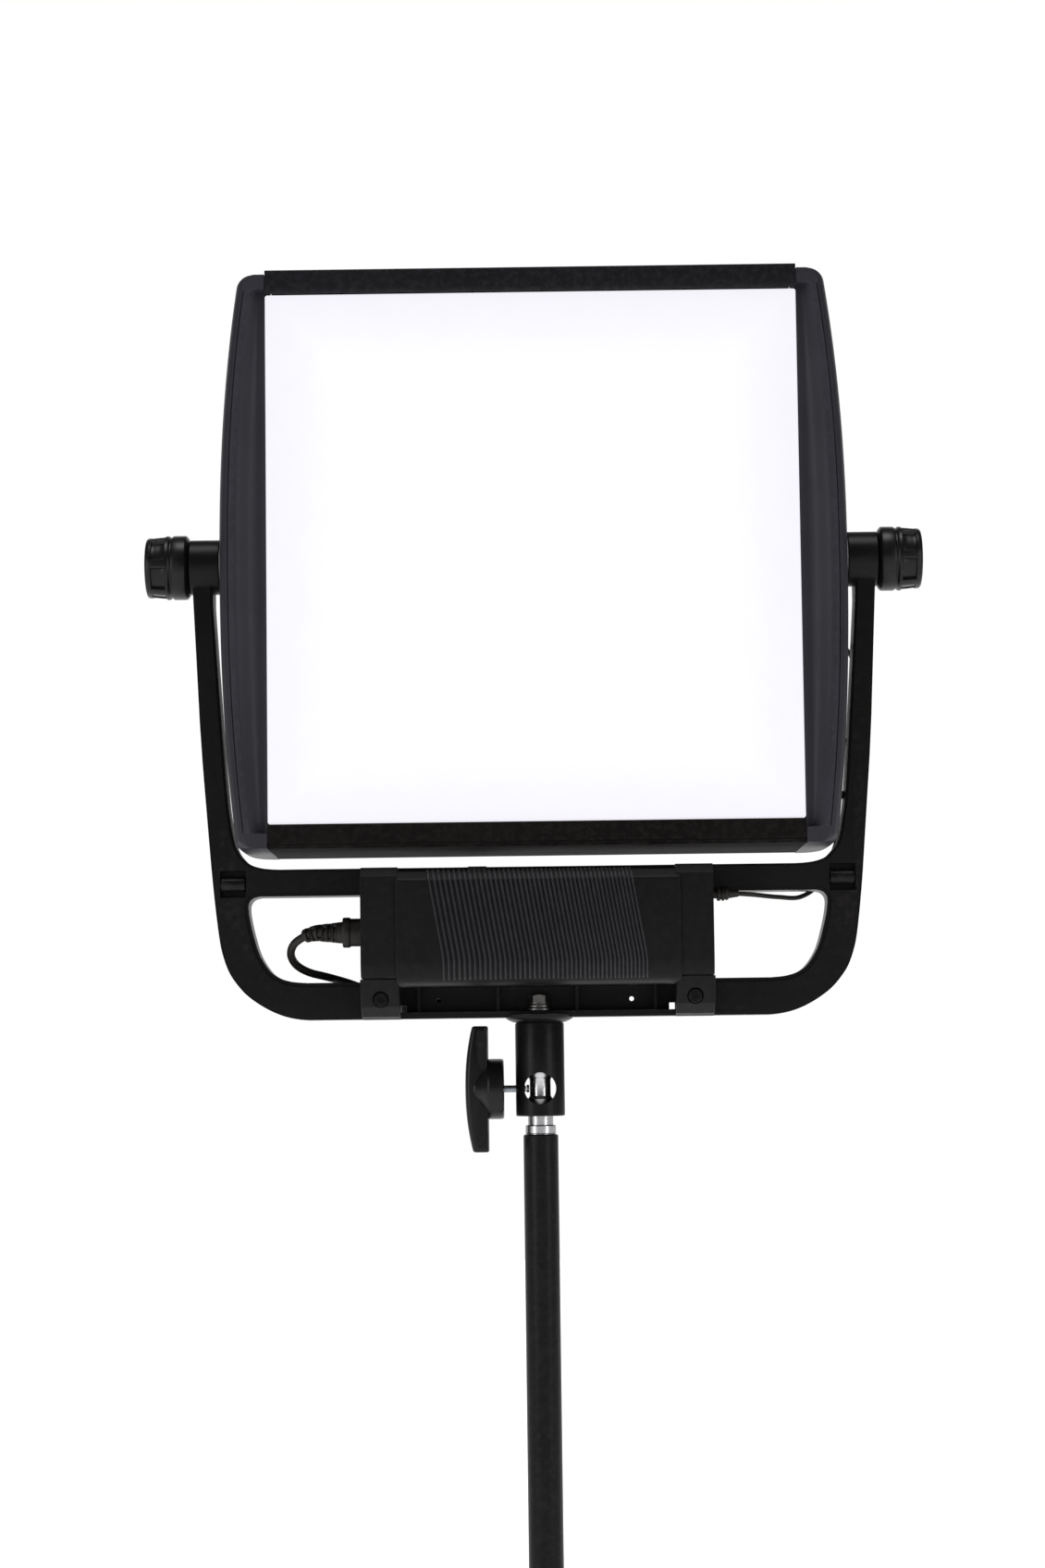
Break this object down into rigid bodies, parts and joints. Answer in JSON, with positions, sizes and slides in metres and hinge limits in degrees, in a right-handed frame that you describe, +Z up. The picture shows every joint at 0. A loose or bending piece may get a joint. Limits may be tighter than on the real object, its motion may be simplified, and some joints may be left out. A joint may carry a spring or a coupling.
{
  "type": "studio light panel",
  "caption": "Square soft light panel in a cast yoke with a clamped power supply, a T-handle stand clamp and the top tube of its stand.",
  "frame": {"origin": "centre of the lower end of the stand riser that carries the lamp", "axes": "+Z up along the riser, -Y out of the lit face, +X to the right seen from the front"},
  "size_m": [0.495, 0.1524, 0.8441],
  "materials": {
    "cast": "satin",
    "shell": "satin moulded",
    "rail": "black anodised",
    "nylon": "semi-gloss moulded",
    "tube": "black powder coat",
    "plated": "polished",
    "zinc": "zinc plated",
    "brass": "turned",
    "opal": "opal diffusing",
    "white": "white gloss",
    "circuit": "solder mask",
    "alloy": "extruded",
    "core": "wound ferrite and tape",
    "window": "display window",
    "pvc": "matt",
    "strap": "woven"
  },
  "bodies": {
    "stand": {"riser_tube": "tube", "riser_end_plug": "nylon", "stud": "plated"},
    "yoke": {"yoke": "cast", "receiver": "cast", "receiver_bolt": "zinc", "bolt_washer_lower": "zinc", "bolt_washer_upper": "zinc", "arm_pin_left": "cast", "arm_pin_right": "cast", "psu_housing": "shell", "psu_back_plate": "shell", "psu_board": "circuit", "psu_transformer": "core", "psu_bracket_left": "shell", "psu_bracket_right": "shell", "bar_clamp_left": "shell", "bar_clamp_right": "shell", "clamp_bolt_left": "zinc", "clamp_bolt_right": "zinc", "mains_inlet": "nylon", "mains_connector": "pvc", "dc_gland": "pvc", "mains_cord": "pvc", "mains_tail": "pvc", "mains_coil": "pvc", "cord_tie": "strap", "mains_plug": "pvc", "dc_cord": "pvc", "cord_clip_lower": "nylon", "cord_clip_upper": "nylon"},
    "clamp_pad": {"clamp_pad": "brass"},
    "clamp_handle": {"clamp_handle": "nylon", "clamp_screw": "zinc"},
    "panel": {"side_shell_left": "shell", "side_shell_right": "shell", "rail_top": "rail", "rail_bottom": "rail", "diffuser": "opal", "light_tray": "white", "led_board": "white", "heat_sink": "alloy", "rear_cover": "shell", "control_board": "circuit", "control_plate": "rail", "display": "window", "switch_bezel": "nylon", "data_socket_in": "plated", "data_socket_out": "plated", "dc_socket": "nylon", "dc_plug": "pvc", "pivot_axle_left": "plated", "pivot_axle_right": "plated", "friction_washer_left": "zinc", "friction_washer_right": "zinc"},
    "tilt_knob_left": {"tilt_knob_left": "nylon"},
    "tilt_knob_right": {"tilt_knob_right": "nylon"},
    "dimmer_dial": {"dimmer_dial": "nylon"},
    "colour_dial": {"colour_dial": "nylon"},
    "power_switch": {"power_switch": "nylon"}
  },
  "joints": [
    {"name": "pan", "type": "hinge", "parent": "stand", "child": "yoke", "pos_m": [0, 0, 0.3283], "axis": [0, 0, 1], "continuous": true},
    {"name": "tilt", "type": "hinge", "parent": "yoke", "child": "panel", "pos_m": [0, 0, 0.6631], "axis": [1, 0, 0], "range_deg": [-90, 90], "deforming": ["dc_cord"]},
    {"name": "clamp_travel", "type": "slide", "parent": "yoke", "child": "clamp_pad", "axis": [-1, 0, 0], "range_m": [0, 0.0017]},
    {"name": "clamp_turn", "type": "hinge", "parent": "clamp_pad", "child": "clamp_handle", "pos_m": [-0.0229, 0, 0.3283], "axis": [-1, 0, 0], "range_deg": [0, 720]},
    {"name": "tilt_lock_left", "type": "hinge", "parent": "panel", "child": "tilt_knob_left", "pos_m": [-0.22, 0, 0.6631], "axis": [-1, 0, 0], "range_deg": [0, 360]},
    {"name": "tilt_lock_right", "type": "hinge", "parent": "panel", "child": "tilt_knob_right", "pos_m": [0.22, 0, 0.6631], "axis": [1, 0, 0], "range_deg": [0, 360]},
    {"name": "dimmer_turn", "type": "hinge", "parent": "panel", "child": "dimmer_dial", "pos_m": [0.04, 0.0564, 0.525], "axis": [0, 1, 0], "range_deg": [-150, 150]},
    {"name": "colour_turn", "type": "hinge", "parent": "panel", "child": "colour_dial", "pos_m": [-0.044, 0.0564, 0.525], "axis": [0, 1, 0], "range_deg": [-150, 150]},
    {"name": "power_rock", "type": "hinge", "parent": "panel", "child": "power_switch", "pos_m": [0.092, 0.0572, 0.525], "axis": [1, 0, 0], "range_deg": [-7, 7]}
  ],
  "couplings": [
    {"joint": "clamp_travel", "follows": "clamp_turn", "m_per_rad": 0.00012732}
  ]
}
